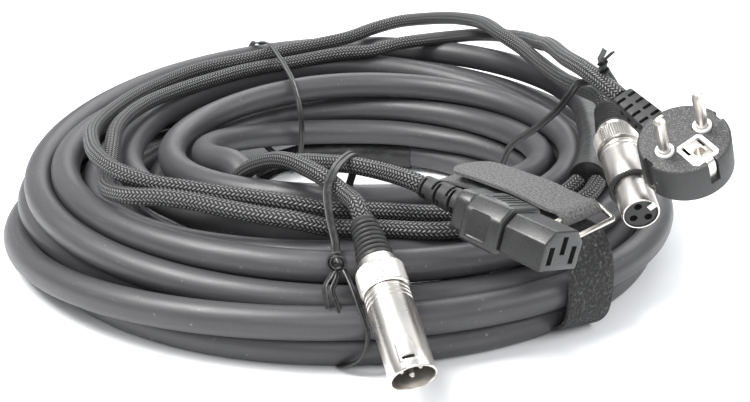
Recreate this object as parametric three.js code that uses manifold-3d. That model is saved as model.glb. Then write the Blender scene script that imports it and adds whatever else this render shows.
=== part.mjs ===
// Hybrid stage cable, coiled for storage: mains power and balanced audio in one jacket, about 10 m long.
// Each end splits under a heat-shrink breakout into two braided tails: XLR female and angled earthed
// plug at one end, XLR male and appliance coupler at the other. Millimetres, +Z up. Routes and coil
// dimensions are given about the coil's centre on the floor, and the whole assembly is then moved so
// that the origin is the centre of its base.
import * as THREE from 'three';
import { mergeVertices } from 'three/addons/utils/BufferGeometryUtils.js';
import Module from 'manifold-3d';

const wasm = await Module();
wasm.setup();

// ---- driving dimensions ----
const CABLE_D = 14.4;
const TAIL_D = 8;
const GAP = 0.3;
const COIL = { inner: 88, outer: 172, height: 41, niche: 107, nicheHeight: 18 };
const TIE = { width: 3.4, thickness: 1.2, slotDepth: 2.2, slotWidth: 5, leaningRadius: 0.8 };
const STRAP = { azimuth: -52, width: 25, thickness: 2, slotDepth: 3, slotWidth: 26.4 };
const RING = { wire: 2.4, length: 38, width: 13 };
const XLR = { barrel: 9.5, knurl: 10.3, cone: 9.2, nose: 8.1, seal: 10.2, boot: 7.6, bootEnd: 5.6 };
const PIN = { radius: 1.2, circle: 3.8, length: 13 };
const COUPLER = { width: 24, height: 16.2, chamfer: 5, nose: 21, grip: 20, collar: 9, relief: 25 };
const PLUG = { radius: 18.8, depth: 18, pinRadius: 2.4, pinSpacing: 19, pinLength: 19, relief: 24.5 };

// Where each connector's mating face is, the way it points, and the direction of its keyed side.
const MALE = { at: [26.4, -218, 16.1], axis: [0.236, -0.815, -0.529], key: [-0.135, -0.58, 0.803] };
const FEMALE = { at: [126, -148, 56], axis: [0.04, -0.937, -0.348], key: [0.727, -0.239, 0.644] };
const IEC = { at: [84, -200, 60.5], axis: [0.66, -0.74, -0.1], key: [0.23, 0.08, 0.97] };
const MAINS = { at: [138, -160, 93], axis: [-0.3, -0.47, 0.83], key: [-0.44, 0.85, 0.27] };
const MALE_LENGTH = 77;
const FEMALE_LENGTH = 76;
const IEC_LENGTH = COUPLER.nose + COUPLER.grip + COUPLER.collar + COUPLER.relief;
const MAINS_EXIT = [0, PLUG.radius + PLUG.relief, -9];

const BREAKOUT_TOP = { from: [131, 0, 58], to: [115, -85, 50.5], radius: 9 };
const BREAKOUT_LOW = { from: [42, 86, 8.9], to: [-24, 92, 8.9], radius: 8.6 };
const STRAIGHT = 7;

// ---- materials ----
const finish = (color, roughness, metalness = 0) => ({ color, roughness, metalness });
const RUBBER = finish(0x2f3032, 0.75);
const BRAID = finish(0x1d1d1f, 0.6);
const SHRINK = finish(0x262628, 0.55);
const NICKEL = finish(0xc9c4ba, 0.28, 1);
const MOULDED = finish(0x38393c, 0.6);
const WHITE = finish(0xe6e6e2, 0.5);
const WEBBING = finish(0x232325, 0.9);
const VINYL = finish(0x303032, 0.5);

const assembly = new THREE.Group();

// ---- helpers ----
const vec = (p) => new THREE.Vector3(p[0], p[1], p[2]);

function mesh(name, geometry, look, parent = assembly) {
  const part = new THREE.Mesh(geometry, new THREE.MeshStandardMaterial(look));
  part.name = name;
  parent.add(part);
  return part;
}

function clean(geometry) {
  const bare = geometry.index ? geometry.clone() : geometry;
  bare.deleteAttribute('normal');
  bare.deleteAttribute('uv');
  return mergeVertices(bare, 1e-4);
}

function solid(geometry) {
  const shared = clean(geometry);
  const vertProperties = new Float32Array(shared.attributes.position.array);
  const triVerts = new Uint32Array(shared.index.array);
  return new wasm.Manifold(new wasm.Mesh({ numProp: 3, vertProperties, triVerts }));
}

function geometryOf(manifold) {
  const result = manifold.getMesh();
  const geometry = new THREE.BufferGeometry();
  const points = new Float32Array(result.vertProperties);
  geometry.setAttribute('position', new THREE.BufferAttribute(points, 3));
  geometry.setIndex(new THREE.BufferAttribute(new Uint32Array(result.triVerts), 1));
  return geometry;
}

const cut = (body, tools) => geometryOf(tools.reduce((rest, tool) => rest.subtract(solid(tool)), solid(body)));
const join = (pieces) => geometryOf(pieces.slice(1).reduce((sum, g) => sum.add(solid(g)), solid(pieces[0])));

// A turned body about local Z, from [radius, z] pairs running from the bottom to the top.
function turned(profile, segments = 24) {
  const points = profile.map(([radius, z]) => new THREE.Vector2(radius, z));
  return new THREE.LatheGeometry(points, segments).rotateX(Math.PI / 2);
}

const box = (x, y, z, cx = 0, cy = 0, cz = 0) => new THREE.BoxGeometry(x, y, z).translate(cx, cy, cz);

function rod(radius, length, x, y, top, segments = 12) {
  const cylinder = new THREE.CylinderGeometry(radius, radius, length, segments);
  return cylinder.rotateX(Math.PI / 2).translate(x, y, top - length / 2);
}

function prism(points, depth, zTop) {
  const outline = new THREE.Shape(points.map(([x, y]) => new THREE.Vector2(x, y)));
  const body = new THREE.ExtrudeGeometry(outline, { depth, bevelEnabled: false });
  return body.translate(0, 0, zTop - depth);
}

function tube(points, radius, steps, sides) {
  const circle = new THREE.Shape();
  for (let i = 0; i < sides; i += 1) {
    const angle = (i / sides) * 2 * Math.PI;
    const put = i ? 'lineTo' : 'moveTo';
    circle[put](radius * Math.cos(angle), radius * Math.sin(angle));
  }
  const path = new THREE.CatmullRomCurve3(points.map(vec), false, 'centripetal');
  return new THREE.ExtrudeGeometry(circle, { steps, extrudePath: path, bevelEnabled: false });
}

// A group whose +Z is the axis and whose +Y is nearest to the keyed side.
function station({ at, axis, key }) {
  const z = vec(axis).normalize();
  const y = vec(key).addScaledVector(z, -vec(key).dot(z)).normalize();
  const x = new THREE.Vector3().crossVectors(y, z);
  const group = new THREE.Group();
  group.quaternion.setFromRotationMatrix(new THREE.Matrix4().makeBasis(x, y, z));
  group.position.copy(vec(at));
  group.updateMatrix();
  assembly.add(group);
  return group;
}

// Where a tail leaves a connector, and the end of its first straight stretch.
function exitOf(group, place, onward) {
  const start = vec(place);
  const end = vec(onward).add(start);
  return [start, end].map((point) => point.applyMatrix4(group.matrix).toArray());
}

// A group standing in the coil's radial plane: X outward, Y up, Z across the bundle.
function radialPlane(azimuth) {
  const angle = THREE.MathUtils.degToRad(azimuth);
  const x = new THREE.Vector3(Math.cos(angle), Math.sin(angle), 0);
  const y = new THREE.Vector3(0, 0, 1);
  const z = new THREE.Vector3().crossVectors(x, y);
  const group = new THREE.Group();
  group.quaternion.setFromRotationMatrix(new THREE.Matrix4().makeBasis(x, y, z));
  assembly.add(group);
  return group;
}

// ---- the coiled main cable ----
const TIE_AZIMUTHS = [110, -91, 8];

function slotTool(azimuth, width, depth) {
  const length = COIL.outer - COIL.inner + 60;
  const tool = box(length, width, depth * 2, (COIL.outer + COIL.inner) / 2, 0, 0);
  return tool.rotateZ(THREE.MathUtils.degToRad(azimuth));
}

function cableCoil() {
  const { inner, outer, height, niche, nicheHeight } = COIL;
  const profile = [
    [niche, 0], [outer - 9, 0], [outer - 2, 5], [outer, 13], [outer - 5, 24], [outer - 22, 36],
    [outer - 32, height], [inner + 14, height], [inner + 3, 37], [inner, 30], [inner, nicheHeight],
    [niche, nicheHeight], [niche, 0],
  ];
  const slots = TIE_AZIMUTHS.map((azimuth) => slotTool(azimuth, TIE.slotWidth, TIE.slotDepth));
  slots.push(slotTool(STRAP.azimuth, STRAP.slotWidth, STRAP.slotDepth));
  mesh('cable_coil', cut(turned(profile, 64), slots), RUBBER);
}

// The last free stretches of the main cable, between the coil and each breakout.
function cableLeads() {
  const top = [[123, 52, 50], [129, 37, 53], [131.6, 21, 56], [131.9, 9, 57.8], [131.1, 0.9, 58]];
  mesh('cable_lead_top', tube(top, CABLE_D / 2, 6, 12), RUBBER);
  const low = [[94, 26, 7.6], [87, 45, 7.6], [75, 62, 7.8], [60, 77.5, 8.4], [43.6, 85.4, 8.9]];
  mesh('cable_lead_low', tube(low, CABLE_D / 2, 8, 12), RUBBER);
}

// ---- heat-shrink breakouts ----
function breakout(name, { from, to, radius }, bow) {
  const middle = vec(from).add(vec(to)).multiplyScalar(0.5).add(vec(bow)).toArray();
  mesh(name, tube([from, middle, to], radius, 6, 12), SHRINK);
}

// ---- connectors ----
function xlrRear(group, prefix, start, length, coneStart) {
  const collar = turned([
    [0, -coneStart - 4.6], [XLR.boot + 0.4, -coneStart - 4.6], [XLR.cone, -coneStart],
    [XLR.knurl, -coneStart + 0.6], [XLR.knurl, -start - 0.6], [XLR.cone, -start - GAP], [0, -start - GAP],
  ]);
  mesh(`${prefix}_collar`, collar, NICKEL, group);
  const bootTop = -coneStart - 4.6 - GAP;
  const profile = [[0, -length], [XLR.bootEnd - 0.6, -length], [XLR.bootEnd, -length + 3]];
  const ribs = 6;
  for (let i = 0; i < ribs; i += 1) {
    const share = (i + 0.2) / ribs;
    const z = -length + 3 + share * (bootTop + length - 3);
    const radius = XLR.bootEnd + share * (XLR.boot - XLR.bootEnd);
    profile.push([radius - 0.5, z], [radius, z + 1]);
  }
  profile.push([XLR.boot, bootTop], [0, bootTop]);
  mesh(`${prefix}_boot`, turned(profile, 20), MOULDED, group);
}

const PIN_PLACES = [[-PIN.circle, 1.2], [PIN.circle, 1.2], [0, -PIN.circle]];

function xlrMale() {
  const group = station(MALE);
  const depth = 15;
  const back = -40;
  const shell = turned([
    [0, back], [XLR.cone, back], [XLR.cone, -38.6], [XLR.barrel, -38.2], [XLR.barrel, -36],
    [XLR.barrel - 0.5, -35.6], [XLR.barrel - 0.5, -34.8], [XLR.barrel, -34.4], [XLR.barrel, -0.5],
    [XLR.barrel - 0.5, 0], [XLR.barrel - 1, 0], [XLR.barrel - 1, -depth - 3.4], [0, -depth - 3.4],
  ], 28);
  const pinHoles = PIN_PLACES.map(([x, y]) => rod(PIN.radius + GAP, 12, x, y, -depth + 1));
  const window = box(4.6, 4, 2, 0, XLR.barrel, -4);
  mesh('xlr_male_shell', cut(shell, [window]), NICKEL, group);
  const insert = rod(XLR.barrel - 1.4, 3, 0, 0, -depth, 24);
  mesh('xlr_male_insert', cut(insert, pinHoles), MOULDED, group);
  PIN_PLACES.forEach(([x, y], i) => {
    const top = -depth + PIN.length - 1;
    const pin = turned([
      [0, -depth - 2.9], [PIN.radius, -depth - 2.9], [PIN.radius, top - 1], [0.6, top], [0, top],
    ], 10).translate(x, y, 0);
    mesh(`xlr_male_pin_${i + 1}`, pin, NICKEL, group);
  });
  xlrRear(group, 'xlr_male', -back, MALE_LENGTH, 51);
  return exitOf(group, [0, 0, -MALE_LENGTH - 2 * GAP], [0, 0, -STRAIGHT]);
}

function xlrFemale() {
  const group = station(FEMALE);
  const nose = XLR.nose;
  const shell = turned([
    [0, -42.5], [XLR.cone, -42.5], [XLR.barrel, -41.6], [XLR.barrel, -18.7], [nose - 0.4, -18.7],
    [nose - 0.4, -17], [nose, -16.6], [nose, -0.4], [nose - 0.4, 0], [nose - 0.9, 0], [nose - 0.9, -18],
    [0, -18],
  ], 28);
  const latchSlot = box(6.4, 6, 17, 0, XLR.barrel - 0.6, -20.5);
  mesh('xlr_female_shell', cut(shell, [latchSlot]), NICKEL, group);
  const seal = turned([
    [nose, -18.4], [XLR.seal, -18.2], [XLR.seal, -17.1], [nose + 0.1, -17], [nose, -18.4],
  ], 28);
  const sealGap = box(6.8, 6, 4, 0, XLR.barrel - 0.6, -17.7);
  mesh('xlr_female_seal', cut(seal, [sealGap]), VINYL, group);
  const insertBody = rod(nose - 1.2, 17, 0, 0, -0.6, 24);
  const holes = PIN_PLACES.map(([x, y]) => rod(1.7, 40, x, y, 5));
  const keyway = box(3.2, 4, 34, 0, nose - 1.6, 0);
  const latchRoom = box(6.4, 6, 20, 0, XLR.barrel - 0.6, -20.5);
  mesh('xlr_female_insert', cut(insertBody, [...holes, keyway, latchRoom]), MOULDED, group);
  PIN_PLACES.forEach(([x, y], i) => {
    const contact = turned([[0, -17], [1.4, -17], [1.4, -4], [1, -4], [1, -16], [0, -16]], 10);
    mesh(`xlr_female_contact_${i + 1}`, contact.translate(x, y, 0), NICKEL, group);
  });
  const blade = box(5.4, 2, 10.4, 0, 9.9, -21.6);
  const tongue = box(5.4, 1.2, 3, 0, 9, -14.7);
  const step = box(5.4, 2.4, 1.6, 0, 9.3, -16.2);
  const latch = join([blade, tongue, step]);
  mesh('xlr_female_latch', latch, NICKEL, group);
  mesh('xlr_female_latch_spring', box(3.4, 0.4, 8, 0, 6.6, -24), NICKEL, group);
  xlrRear(group, 'xlr_female', 42.5, FEMALE_LENGTH, 53);
  return exitOf(group, [0, 0, -FEMALE_LENGTH - 2 * GAP], [0, 0, -STRAIGHT]);
}

function couplerOutline(width, height, chamfer) {
  const [w, h] = [width / 2, height / 2];
  return [[-w, -h], [w, -h], [w, h - chamfer], [w - chamfer, h], [chamfer - w, h], [-w, h - chamfer]];
}

// A slotted strain relief about local Z, whose slots alternate from side to side.
function slottedRelief(front, length, radius, slots) {
  const body = turned([[0, front - length], [radius * 0.86, front - length], [radius, front], [0, front]], 16);
  const pitch = length / (slots + 1);
  const tools = [];
  for (let i = 1; i <= slots; i += 1) {
    const side = i % 2 ? 1 : -1;
    tools.push(box(radius * 3, 2.6, 1.7, 0, side * radius, front - i * pitch));
  }
  return cut(body, tools);
}

function couplerFemale() {
  const group = station(IEC);
  const { width, height, chamfer, nose, grip, collar, relief } = COUPLER;
  const places = [[-7, -2], [7, -2], [0, 2]];
  const slots = places.map(([x, y]) => box(2.6, 6.6, 17, x, y, -8.4));
  const noseBody = prism(couplerOutline(width, height, chamfer), nose - GAP, 0);
  mesh('coupler_nose', cut(noseBody, slots), MOULDED, group);
  places.forEach(([x, y], i) => {
    mesh(`coupler_contact_${i + 1}`, box(1.6, 5, 7, x, y, -13), NICKEL, group);
  });
  const body = prism(couplerOutline(width + 4.5, height + 3, chamfer), grip, -nose);
  mesh('coupler_body', body, MOULDED, group);
  const back = -nose - grip - GAP;
  mesh('coupler_collar', prism(couplerOutline(20, 17, 3), collar - GAP, back), MOULDED, group);
  const reliefTop = back - collar;
  mesh('coupler_strain_relief', slottedRelief(reliefTop, relief - 2 * GAP, 5.6, 5), MOULDED, group);
  return exitOf(group, [0, 0, -IEC_LENGTH - 2 * GAP], [0, 0, -STRAIGHT]);
}

function mainsPlug() {
  const group = station(MAINS);
  const { radius, depth, pinRadius, pinSpacing, pinLength, relief } = PLUG;
  const disc = rod(radius, depth, 0, 0, 0, 40);
  const recess = box(11.6, 12.6, 14, 0, -8.8, 0);
  const clipSlots = [1, -1].map((side) => box(4.6, 6, depth - 4, 0, side * (radius - 0.4), -depth / 2 + 5));
  const guides = [1, -1].map((side) => box(3, 5, depth + 8, side * radius, 0, -depth / 2 + 3));
  const bushSeats = [1, -1].map((side) => rod(4.2, 12, (side * pinSpacing) / 2, 0, 6, 20));
  mesh('mains_plug_body', cut(disc, [recess, ...clipSlots, ...guides, ...bushSeats]), MOULDED, group);
  [1, -1].forEach((side, i) => {
    const x = (side * pinSpacing) / 2;
    const bush = cut(rod(3.9, 6.4, x, 0, 0.7, 20), [rod(pinRadius + 0.2, 20, x, 0, 5, 14)]);
    mesh(`mains_plug_bush_${i + 1}`, bush, WHITE, group);
    const pin = turned([
      [0, -5.4], [pinRadius, -5.4], [pinRadius, pinLength - 1.2], [1.3, pinLength], [0, pinLength],
    ], 14).translate(x, 0, 0);
    mesh(`mains_plug_pin_${i + 1}`, pin, NICKEL, group);
  });
  const socket = cut(box(8, 9.6, 6, 0, -9.4, -3.7), [rod(2.5, 20, 0, -10, 6, 16)]);
  mesh('mains_plug_earth_socket', socket, NICKEL, group);
  [1, -1].forEach((side, i) => {
    const clip = box(3.6, 1, depth - 7, 0, side * (radius - 2), -depth / 2 + 4.4);
    mesh(`mains_plug_earth_clip_${i + 1}`, clip, NICKEL, group);
  });
  const reliefBody = box(12, relief - GAP, 9, 0, radius + GAP + (relief - GAP) / 2, -9);
  const slots = [];
  for (let i = 0; i < 4; i += 1) {
    const y = radius + 4.5 + i * 5.2;
    [-1, 1].forEach((side) => slots.push(box(3.6, 2.2, 20, side * 3.2, y, -9)));
  }
  mesh('mains_plug_strain_relief', cut(reliefBody, slots), MOULDED, group);
  return exitOf(group, [0, MAINS_EXIT[1] + 2 * GAP, MAINS_EXIT[2]], [0, STRAIGHT, 0]);
}

// ---- braided tails ----
function tail(name, points, steps) {
  mesh(name, tube(points, TAIL_D / 2, steps, 8), BRAID);
}

function tails(maleExit, femaleExit, couplerExit, mainsExit) {
  tail('tail_xlr_female', [
    ...femaleExit, [119, -40, 82.5], [115, -15, 80], [111.5, 12, 78.5], [107, 36, 79], [102, 54, 81],
    [92, 74, 85], [87, 97, 85.5], [81, 126, 82.5], [68, 146, 80], [52, 158, 77], [37, 160, 75],
    [20, 153, 72], [4, 141, 69], [-14, 132, 67],
    [-32, 126, 65], [-56, 116, 62], [-85, 97, 60], [-109, 62, 58], [-121, 29, 57], [-127, -15, 57.5],
    [-122, -52, 60], [-114, -78, 61], [-103, -95, 60], [-86, -107, 58], [-68, -113, 57], [-54, -117, 56],
    [-37, -121, 55], [-23, -125, 54], [-6, -125, 51], [16, -119, 48], [38, -119, 46.5], [70, -116, 46],
    [88, -106, 45.5], [98, -98, 46], [105, -92, 47.6], [110.2, -87, 50.2],
  ], 72);
  tail('tail_mains', [
    ...mainsExit, [110, -90, 104.5], [106, -60, 103], [105, -30, 101], [107, 5, 95], [109.8, 42, 87],
    [108, 72, 82.5],
    [103, 100, 78], [95, 120, 74.5], [84, 133, 72], [69.5, 137, 70], [54, 134.5, 69], [35, 129, 67.5],
    [19, 122, 65], [-2, 118, 64], [-32, 112, 60], [-55, 100, 59], [-74, 82, 58], [-92, 61, 57],
    [-106, 35, 57], [-114, 5, 57], [-116, -19, 56.5], [-114, -44, 54], [-112, -66, 50.5], [-109, -90, 50],
    [-95, -113, 54], [-80, -121, 56], [-67, -126, 56], [-53, -132, 55], [-35, -137, 53], [-22, -140, 52],
    [-6, -139, 48], [16, -136, 46], [42, -138, 45.5], [68, -130, 45], [86, -121, 45],
    [102, -109, 45.3], [113, -98, 47.2], [119, -87.7, 50],
  ], 76);
  tail('tail_xlr_male', [
    ...maleExit,
    [1.7, -135, 60.9], [-7.4, -122, 64.2], [-14.5, -110, 64.5], [-22, -98, 64.2], [-29.7, -86, 61.7], [-37.7, -74, 56.5],
    [-45, -63, 50], [-55, -48, 38], [-64, -32, 27], [-72, -12, 16], [-76, 8, 8.6], [-74, 32, 6.4], [-64, 60, 6.4],
    [-49, 80, 6.4], [-38, 90.5, 6.8], [-26.6, 96.4, 8.6],
  ], 36);
  tail('tail_coupler', [
    ...couplerExit,
    [17.6, -122, 67.3], [8.6, -113, 66.6], [1.8, -105, 65.3], [-5.5, -97, 63.3], [-12.7, -88, 61], [-20.2, -78, 58],
    [-30, -66, 52], [-41, -52, 42], [-51, -36, 30], [-59, -15, 17], [-63, 6, 8.6], [-61, 30, 6.4], [-53, 54, 6.4],
    [-41, 73, 6.4], [-34, 82, 6.8], [-27, 87.6, 8.6],
  ], 36);
}

// ---- ties and strap ----
function tie(name, azimuth, loop) {
  const group = radialPlane(azimuth);
  const section = new THREE.Shape([
    new THREE.Vector2(-TIE.width / 2, -TIE.thickness / 2), new THREE.Vector2(TIE.width / 2, -TIE.thickness / 2),
    new THREE.Vector2(TIE.width / 2, TIE.thickness / 2), new THREE.Vector2(-TIE.width / 2, TIE.thickness / 2),
  ]);
  const points = loop.map(([r, z]) => new THREE.Vector3(r, z, 0));
  const path = new THREE.CatmullRomCurve3(points, false, 'centripetal');
  const body = new THREE.ExtrudeGeometry(section, { steps: 64, extrudePath: path, bevelEnabled: false });
  mesh(name, body, VINYL, group);
}

// The loop runs from one twisted end, under and round the bundle, to the other.
function ties() {
  const under = TIE.thickness / 2 + 0.4;
  const below = [[178, 14], [171, 2.6], [162, under], [112, under], [92, under], [84, 2]];
  tie('tie_left', TIE_AZIMUTHS[0], [
    [164, 66], [165, 58], [168, 52], [177, 40], ...below, [79, 8], [78, 16], [82, 32], [92, 52],
    [104, 66], [118, 72.5], [134, 76], [148, 74.5], [158, 68], [162, 60.5],
  ]);
  // The other two lean: each goes under the bundle at its azimuth, the front one up to a knot on the
  // outer turns and the right one up to a knot on the mains tail.
  mesh('tie_front', tube([
    [-6, -169, 41], [-3, -167, 44], [2, -174.5, 38.5], [6, -181.5, 30], [9, -185.5, 19], [6, -185, 9],
    [0, -181, 3.6], [-2.9, -172, 1.6], [-2.8, -158, 1.3], [-2.4, -135, 1.3], [-2, -112, 1.3], [-1.6, -92, 1.4],
    [-1, -84, 4], [-0.5, -80, 12], [0, -80, 26], [1, -83, 40], [4, -90, 54], [6, -98, 65], [4.5, -106, 71.4],
    [0, -114, 71], [-3.9, -126, 69.5], [-6.8, -137, 64.6], [-5.5, -149, 56], [-4, -158, 50], [-4, -166, 48],
    [-7, -171, 46],
  ], TIE.leaningRadius, 80, 8), VINYL);
  mesh('tie_right', tube([
    [117, -108, 114], [117, -106, 109], [123, -98, 98], [130, -88, 86], [150, -60, 56], [171, -28, 34],
    [175.6, 6, 18], [174.6, 24.8, 8], [168, 23.6, 1.8], [150, 21.1, 1.3], [120, 16.9, 1.3], [92, 12.9, 1.3],
    [83.5, 11.7, 3], [83, 8, 12], [84.5, 0, 28], [88.5, -10, 44], [98, -24, 57], [107, -38, 71],
    [112, -46, 82], [114, -53, 88.5], [119.5, -60, 91.5], [119, -76, 98], [117, -92, 107],
    [114, -101, 110.5], [113, -106, 114.5],
  ], TIE.leaningRadius, 80, 8), VINYL);
}

// A band of even thickness along a centre line in the radial plane.
function band(points, thickness, width) {
  const line = new THREE.SplineCurve(points.map(([x, y]) => new THREE.Vector2(x, y)));
  const samples = line.getSpacedPoints(points.length * 2);
  const sides = [1, -1].map((side) => samples.map((point, i) => {
    const ahead = samples[Math.min(i + 1, samples.length - 1)];
    const behind = samples[Math.max(i - 1, 0)];
    const along = ahead.clone().sub(behind).normalize();
    const offset = (side * thickness) / 2;
    return new THREE.Vector2(point.x - along.y * offset, point.y + along.x * offset);
  }));
  const outline = new THREE.Shape([...sides[0], ...sides[1].reverse()]);
  const body = new THREE.ExtrudeGeometry(outline, { depth: width, bevelEnabled: false });
  return body.translate(0, 0, -width / 2);
}

const RING_AT = { radius: 171, height: 41, dip: -12 };

function strapAndRing() {
  const group = radialPlane(STRAP.azimuth);
  const half = STRAP.thickness / 2;
  const under = half + 0.2;
  // From the sewn end at the ring, down the outside, under, up the inside, over the top, round the
  // ring's inner bar and back over itself to the free end.
  mesh('strap', band([
    [180.2, 29], [178.4, 34], [174.8, 37.4], [174.4, 41.4], [177.6, 43.4], [181.2, 41.6], [182.8, 36],
    [184, 28], [184, 18], [182, 9], [176, 3.4], [164, under], [140, under], [112, under], [90, under],
    [82, 4], [79.5, 16], [80, 32], [84, 44], [94, 50], [112, 52.6], [130, 53.2], [146, 53], [153.4, 51],
    [159, 45], [163, 39.6], [167.3, 37.8], [171.2, 41.4], [168.8, 45.8], [164, 49.4], [157, 54.6],
    [146, 57], [130, 57.2], [112, 56.6], [96, 54.6], [82, 49.6],
  ], STRAP.thickness, STRAP.width), WEBBING, group);
  const ringGroup = new THREE.Group();
  ringGroup.position.set(RING_AT.radius, RING_AT.height, 0);
  ringGroup.rotation.z = THREE.MathUtils.degToRad(RING_AT.dip);
  group.add(ringGroup);
  const { wire, length, width } = RING;
  const outer = [[0, -length / 2], [width, -length / 2], [width, length / 2], [0, length / 2]];
  const inner = [[wire, wire - length / 2], [width - wire, wire - length / 2],
    [width - wire, length / 2 - wire], [wire, length / 2 - wire]];
  const frame = cut(prism(outer, wire, wire / 2), [prism(inner, wire * 3, wire * 1.5)]);
  mesh('strap_ring', frame.rotateX(-Math.PI / 2).translate(-5, 0, 0), NICKEL, ringGroup);
}

// ---- assembly ----
cableCoil();
cableLeads();
breakout('breakout_top', BREAKOUT_TOP, [3.5, 0, 0]);
breakout('breakout_low', BREAKOUT_LOW, [0, 6, 0]);
const maleExit = xlrMale();
const femaleExit = xlrFemale();
const couplerExit = couplerFemale();
const mainsExit = mainsPlug();
tails(maleExit, femaleExit, couplerExit, mainsExit);
ties();
strapAndRing();

assembly.updateMatrixWorld(true);
const extent = new THREE.Box3().setFromObject(assembly);
const centre = extent.getCenter(new THREE.Vector3());
assembly.position.set(-centre.x, -centre.y, -extent.min.z);

export default assembly;
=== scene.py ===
import math

import bmesh
import bpy
import numpy as np
from mathutils import Matrix, Vector


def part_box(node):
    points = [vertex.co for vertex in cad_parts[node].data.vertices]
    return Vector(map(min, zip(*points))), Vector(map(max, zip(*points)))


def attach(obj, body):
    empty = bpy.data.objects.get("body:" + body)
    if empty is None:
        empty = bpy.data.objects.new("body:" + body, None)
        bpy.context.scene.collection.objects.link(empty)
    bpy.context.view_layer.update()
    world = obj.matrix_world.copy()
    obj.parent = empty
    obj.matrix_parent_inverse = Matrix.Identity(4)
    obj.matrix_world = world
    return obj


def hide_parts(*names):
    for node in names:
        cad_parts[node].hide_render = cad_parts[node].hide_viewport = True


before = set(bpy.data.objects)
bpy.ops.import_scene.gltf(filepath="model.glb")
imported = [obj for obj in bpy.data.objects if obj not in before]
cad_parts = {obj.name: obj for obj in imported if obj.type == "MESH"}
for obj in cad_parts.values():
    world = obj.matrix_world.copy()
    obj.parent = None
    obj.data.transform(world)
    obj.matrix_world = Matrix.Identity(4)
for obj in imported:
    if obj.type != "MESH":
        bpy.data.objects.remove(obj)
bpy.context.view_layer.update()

# ---- frame and units: lengths below are millimetres about the coil's centre on the floor ----
MM = 0.001
COIL_LOW, COIL_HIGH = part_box("cable_coil")
CENTRE = Vector(((COIL_LOW.x + COIL_HIGH.x) / 2, (COIL_LOW.y + COIL_HIGH.y) / 2, 0))
TO_ROW = Matrix.Translation(CENTRE) @ Matrix.Scale(MM, 4)

CABLE_R = 7.2
TAIL_R = 4.0
MALE = dict(at=(26.4, -218, 16.1), axis=(0.236, -0.815, -0.529), key=(-0.135, -0.58, 0.803))
FEMALE = dict(at=(126, -148, 56), axis=(0.04, -0.937, -0.348), key=(0.727, -0.239, 0.644))
IEC = dict(at=(84, -200, 60.5), axis=(0.66, -0.74, -0.1), key=(0.23, 0.08, 0.97))
MAINS = dict(at=(138, -160, 93), axis=(-0.3, -0.47, 0.83), key=(-0.44, 0.85, 0.27))
MALE_LENGTH = 77
FEMALE_LENGTH = 76

# How far each tail runs straight on from its connector.
STRAIGHT = 7

# Metres along the strap at which the pile gives way to the nap of the flap.
STRAP_PILE_END = 0.2
STRAP_WIDTH = 25
STRAP_THICKNESS = 1.7
STRAP_ROUNDED_END = 9


def row(point):
    return TO_ROW @ Vector(point)


def station(at, axis, key):
    """The matrix of a connector: local Z is its axis and local Y is nearest its keyed side."""
    z = Vector(axis).normalized()
    y = Vector(key)
    y = (y - z * y.dot(z)).normalized()
    x = y.cross(z)
    turn = Matrix((x, y, z)).transposed().to_4x4()
    return Matrix.Translation(Vector(at)) @ turn


def linked(name, data):
    made = bpy.data.objects.new(name, data)
    bpy.context.scene.collection.objects.link(made)
    return made


# ---- camera ----
CAMERA_PLACE = (0, -660.8, 245.7)
CAMERA_DIP = math.radians(20.4)
LOOK_AHEAD, LOOK_RIGHT, LOOK_UP = 1300, 32, 18
LENS = 62.4


def make_camera():
    s, c = math.sin(CAMERA_DIP), math.cos(CAMERA_DIP)
    look = Vector((0, c, -s)) * LOOK_AHEAD + Vector((1, 0, 0)) * LOOK_RIGHT + Vector((0, s, c)) * LOOK_UP
    data = bpy.data.cameras.new("camera")
    data.lens = LENS
    data.sensor_width = 36
    data.clip_start, data.clip_end = 0.02, 20
    camera = linked("camera", data)
    camera.location = row(CAMERA_PLACE)
    camera.rotation_mode = "QUATERNION"
    camera.rotation_quaternion = look.to_track_quat("-Z", "Y")
    bpy.context.scene.camera = camera


make_camera()


# ---- node materials ----
def add(tree, kind, sockets=None, **settings):
    made = tree.nodes.new("ShaderNode" + kind)
    for key, value in settings.items():
        setattr(made, key, value)
    for key, value in (sockets or {}).items():
        if isinstance(value, bpy.types.NodeSocket):
            tree.links.new(value, made.inputs[key])
        else:
            made.inputs[key].default_value = value
    return made


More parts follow.
